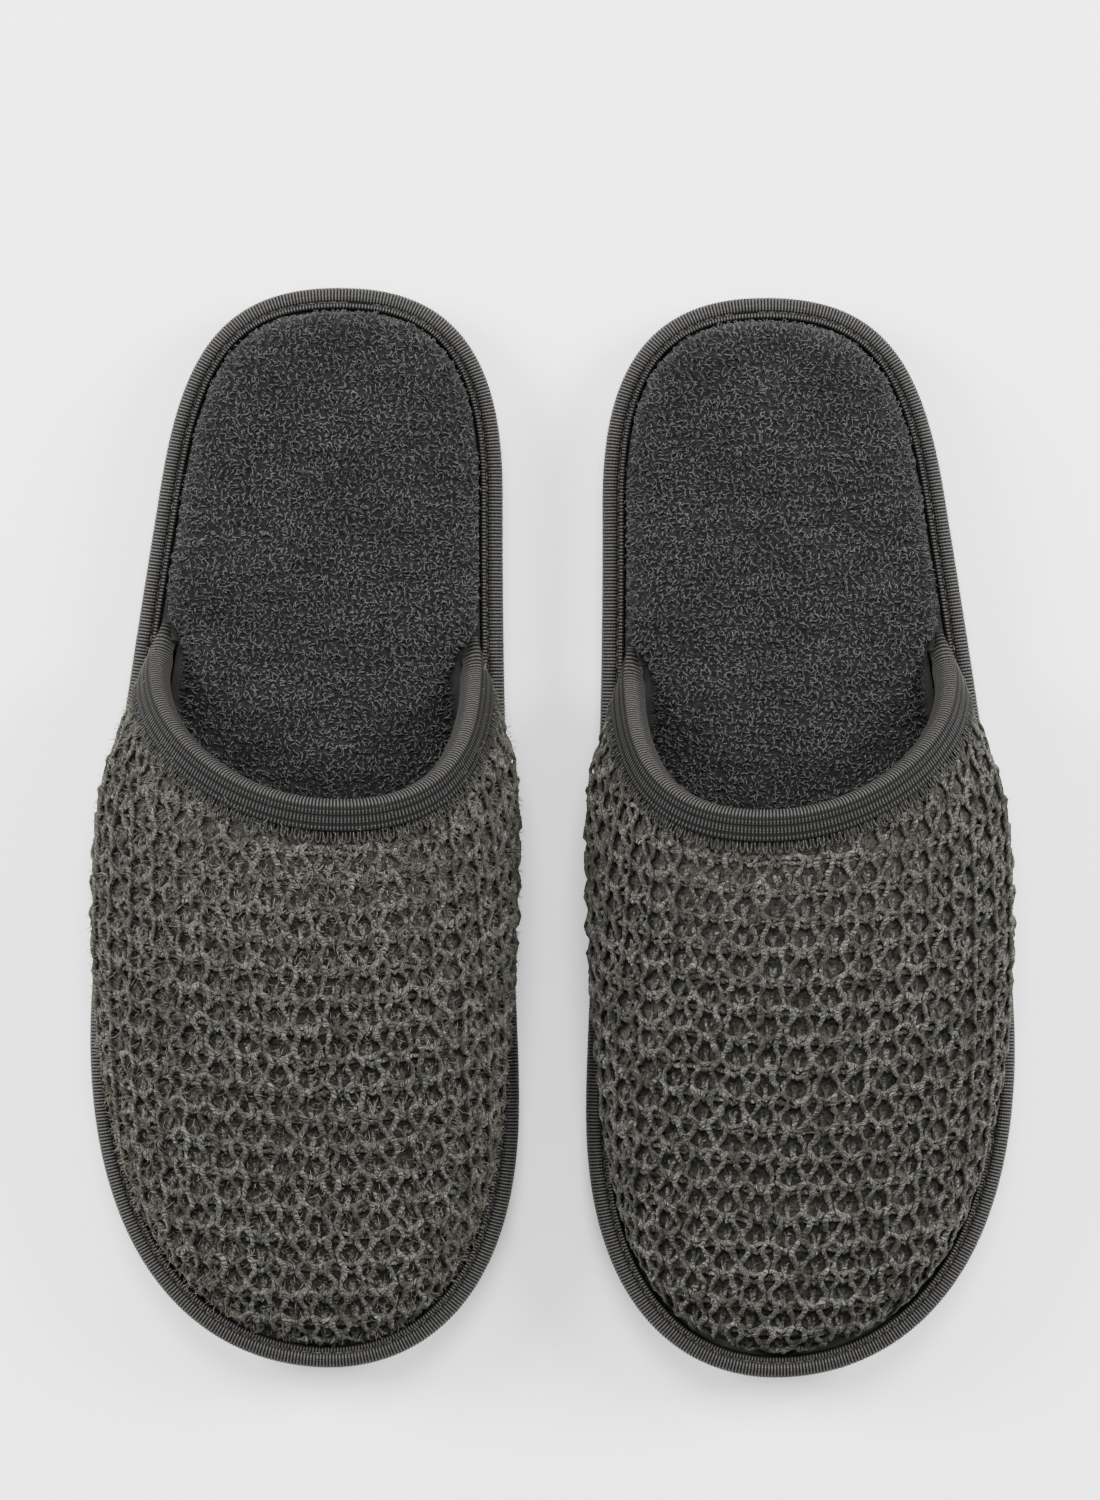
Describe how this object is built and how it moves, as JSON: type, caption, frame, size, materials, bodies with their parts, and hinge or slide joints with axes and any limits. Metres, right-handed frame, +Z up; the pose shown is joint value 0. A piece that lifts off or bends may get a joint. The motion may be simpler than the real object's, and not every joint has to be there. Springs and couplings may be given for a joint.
{
  "type": "spa slippers",
  "caption": "Pair of padded spa slippers with a waffle-knit upper, open heel, plush cushioned footbed and a sole edged with ribbed tape.",
  "frame": {"origin": "middle of the pair's footprint, on the floor", "axes": "+Z up; +Y from the toes towards the heels; +X from the right-foot slipper towards the left-foot slipper"},
  "size_m": [0.2492, 0.2926, 0.0637],
  "materials": {
    "outsole": "matt moulded",
    "midsole": "closed-cell foam",
    "insole_board": "pressed fibre",
    "sole_binding": "ribbed tape",
    "footbed_foam": "soft foam",
    "footbed_cover": "plush pile",
    "upper_knit": "waffle knit",
    "upper_padding": "soft wadding",
    "upper_lining": "plush pile",
    "collar_binding": "ribbed tape",
    "collar_stitching": "sewing thread"
  },
  "bodies": {
    "left_slipper": {"left_outsole_front": "outsole", "left_midsole_front": "midsole", "left_insole_board_front": "insole_board", "left_sole_binding_front": "sole_binding", "left_footbed_foam_front": "footbed_foam", "left_footbed_cover_front": "footbed_cover", "left_upper_knit": "upper_knit", "left_upper_padding": "upper_padding", "left_upper_lining": "upper_lining", "left_collar_binding": "collar_binding", "left_collar_stitching": "collar_stitching"},
    "left_heel": {"left_outsole_heel": "outsole", "left_midsole_heel": "midsole", "left_insole_board_heel": "insole_board", "left_sole_binding_heel": "sole_binding", "left_footbed_foam_heel": "footbed_foam", "left_footbed_cover_heel": "footbed_cover"},
    "right_slipper": {"right_outsole_front": "outsole", "right_midsole_front": "midsole", "right_insole_board_front": "insole_board", "right_sole_binding_front": "sole_binding", "right_footbed_foam_front": "footbed_foam", "right_footbed_cover_front": "footbed_cover", "right_upper_knit": "upper_knit", "right_upper_padding": "upper_padding", "right_upper_lining": "upper_lining", "right_collar_binding": "collar_binding", "right_collar_stitching": "collar_stitching"},
    "right_heel": {"right_outsole_heel": "outsole", "right_midsole_heel": "midsole", "right_insole_board_heel": "insole_board", "right_sole_binding_heel": "sole_binding", "right_footbed_foam_heel": "footbed_foam", "right_footbed_cover_heel": "footbed_cover"}
  },
  "joints": [
    {"name": "left_heel_flex", "type": "hinge", "parent": "left_slipper", "child": "left_heel", "pos_m": [0.05903, 0.06681, 0.022], "axis": [0.9986, 0.0523, 0], "range_deg": [0, 35], "stiffness_Nm_per_rad": 0.4},
    {"name": "right_slipper_lift", "type": "slide", "parent": "left_slipper", "child": "right_slipper", "axis": [0, 0, 1], "range_m": [0, 0.15]},
    {"name": "right_heel_flex", "type": "hinge", "parent": "right_slipper", "child": "right_heel", "pos_m": [-0.05903, 0.0695, 0.022], "axis": [0.9986, -0.0523, 0], "range_deg": [0, 35], "stiffness_Nm_per_rad": 0.4}
  ]
}
